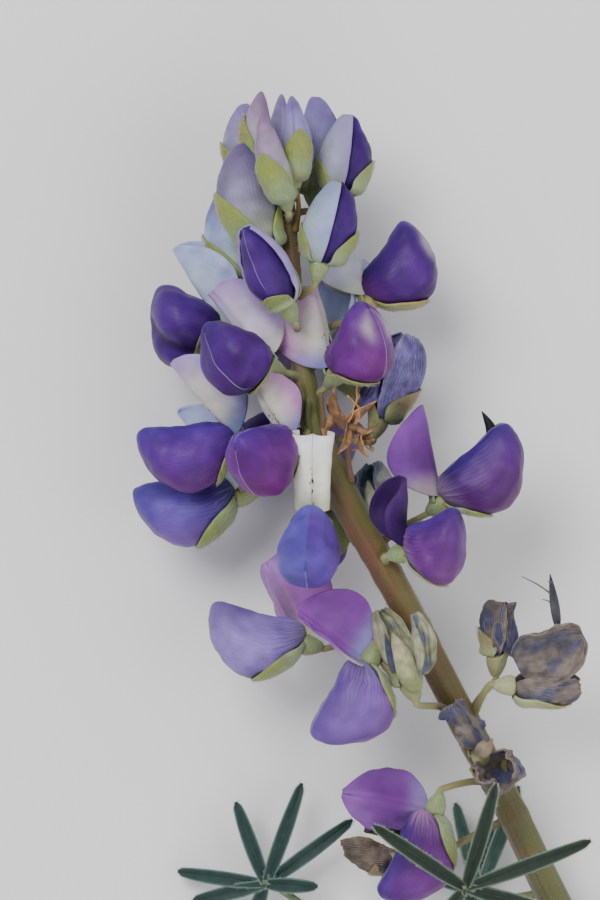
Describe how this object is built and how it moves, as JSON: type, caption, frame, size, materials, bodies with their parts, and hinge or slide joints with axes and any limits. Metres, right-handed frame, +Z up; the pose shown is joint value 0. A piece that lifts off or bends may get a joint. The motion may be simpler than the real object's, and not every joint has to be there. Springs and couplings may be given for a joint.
{
  "type": "lupin flower spike",
  "caption": "Cut spike of a lupin lying on its back: pea-shaped blooms, buds and faded flowers on stalks round a bare stem, with palmate leaves by the cut end.",
  "frame": {"origin": "middle of the bounding box seen from above, on the surface the spike lies on", "axes": "+Y from the cut end towards the tip of the spike, +X to its right seen from above, +Z up from the surface"},
  "size_m": [0.0682, 0.1286, 0.0334],
  "materials": {
    "stem": "matt, finely hairy, olive green to red-brown",
    "bud": "satin, lavender with a green calyx",
    "pale_petal": "satin, cream to pale lavender",
    "violet_petal": "satin, deep violet",
    "mauve_petal": "satin, mauve with fine veins",
    "pink_petal": "satin, pink-mauve",
    "withered_petal": "matt, wrinkled and papery, blue-grey and tan",
    "dry_bract": "matt, dry, orange-brown",
    "leaf": "satin, dark green with a paler rim",
    "silvery_leaf": "matt, silvery green, hairy"
  },
  "bodies": {
    "root": {"stem": "stem", "bud_07_wings": "violet_petal", "bud_07_banner": "pale_petal", "bud_10_wings": "violet_petal", "bud_10_banner": "pale_petal", "bud_11_wings": "violet_petal", "bud_11_banner": "pale_petal", "bud_01": "bud", "bud_02": "bud", "bud_03": "bud", "bud_04": "bud", "bud_05": "bud", "bud_06": "bud", "bud_08": "bud", "bud_09": "bud", "bloom_01_wings": "violet_petal", "bloom_01_banner": "pale_petal", "bloom_02_wings": "violet_petal", "bloom_02_banner": "pale_petal", "bloom_03_wings": "violet_petal", "bloom_03_banner": "pale_petal", "bloom_04_wings": "violet_petal", "bloom_04_banner": "pale_petal", "bloom_06_wings": "violet_petal", "bloom_06_banner": "pale_petal", "bloom_07_wings": "violet_petal", "bloom_07_banner": "pale_petal", "bloom_08_wings": "violet_petal", "bloom_08_banner": "pale_petal", "bloom_09_wings": "violet_petal", "bloom_09_banner": "pale_petal", "bloom_10_wings": "mauve_petal", "bloom_10_banner": "pink_petal", "bloom_11_wings": "mauve_petal", "bloom_11_banner": "pink_petal", "bloom_13_wings": "mauve_petal", "bloom_13_banner": "pink_petal", "bloom_14_wings": "mauve_petal", "bloom_14_banner": "pink_petal", "bloom_19_wings": "mauve_petal", "bloom_19_banner": "pink_petal", "bloom_21_wings": "violet_petal", "bloom_21_banner": "pale_petal", "bloom_22_wings": "violet_petal", "bloom_22_banner": "pale_petal", "bloom_23_wings": "violet_petal", "bloom_23_banner": "pale_petal", "bloom_24_wings": "violet_petal", "bloom_24_banner": "pale_petal", "faded_05": "withered_petal", "faded_12": "withered_petal", "faded_15": "withered_petal", "faded_16": "withered_petal", "faded_17": "withered_petal", "faded_18": "withered_petal", "faded_20": "withered_petal", "dry_bracts": "dry_bract", "leaf_left": "leaf", "leaf_front": "leaf", "leaf_back": "silvery_leaf"}
  },
  "joints": []
}
